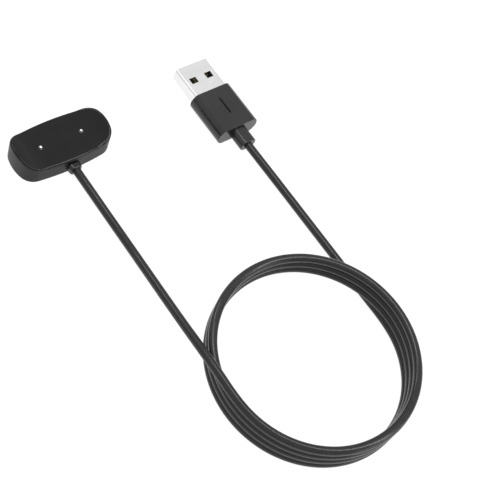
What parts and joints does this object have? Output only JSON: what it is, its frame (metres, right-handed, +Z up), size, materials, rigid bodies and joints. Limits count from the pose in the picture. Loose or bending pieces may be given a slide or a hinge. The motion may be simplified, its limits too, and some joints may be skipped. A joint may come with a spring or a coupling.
{
  "type": "fitness tracker charging cable",
  "caption": "Magnetic contact charging head with spring pins on a coiled black cord that ends in a USB-A plug.",
  "frame": {"origin": "middle of the charging head's underside, on the surface that it lies on", "axes": "+Z up out of the contact face, +X along the head from its left pin to its right pin, +Y away from the cord's exit; the plug points along +Y"},
  "size_m": [0.0752, 0.1303, 0.0128],
  "materials": {
    "gloss_black": "gloss",
    "satin_black": "satin",
    "cord_jacket": "satin",
    "shell_metal": "satin nickel plate",
    "pin_metal": "polished",
    "barrel_metal": "satin",
    "spring_steel": "satin",
    "insulator": "matte",
    "board": "satin",
    "magnet": "nickel plate",
    "wire_red": "satin",
    "wire_black": "satin",
    "contact_gold": "gold plate"
  },
  "bodies": {
    "charger": {"contact_barrel_left": "barrel_metal", "contact_barrel_right": "barrel_metal", "contact_carrier": "insulator", "contact_spring_left": "spring_steel", "contact_spring_right": "spring_steel", "cord_coil": "cord_jacket", "cord_head_run": "cord_jacket", "cord_plug_run": "cord_jacket", "head_base": "satin_black", "head_board": "board", "head_shell": "gloss_black", "head_strain_relief": "satin_black", "head_wire_ground": "wire_black", "head_wire_power": "wire_red", "magnet_left": "magnet", "magnet_right": "magnet", "plug_contact_1": "contact_gold", "plug_contact_2": "contact_gold", "plug_contact_3": "contact_gold", "plug_contact_4": "contact_gold", "plug_inner_mould": "insulator", "plug_overmould": "gloss_black", "plug_shell": "shell_metal", "plug_strain_relief": "satin_black", "plug_tongue": "insulator", "plug_wire_ground": "wire_black", "plug_wire_power": "wire_red"},
    "pin_left": {"contact_plunger_left": "pin_metal"},
    "pin_right": {"contact_plunger_right": "pin_metal"}
  },
  "joints": [
    {"name": "pin_slide_left", "type": "slide", "parent": "charger", "child": "pin_left", "axis": [0, 0, -1], "range_m": [0, 0.0005], "stiffness_N_per_m": 600, "springref_m": -0.0005, "deforming": ["contact_spring_left"]},
    {"name": "pin_slide_right", "type": "slide", "parent": "charger", "child": "pin_right", "axis": [0, 0, -1], "range_m": [0, 0.0005], "stiffness_N_per_m": 600, "springref_m": -0.0005, "deforming": ["contact_spring_right"]}
  ]
}
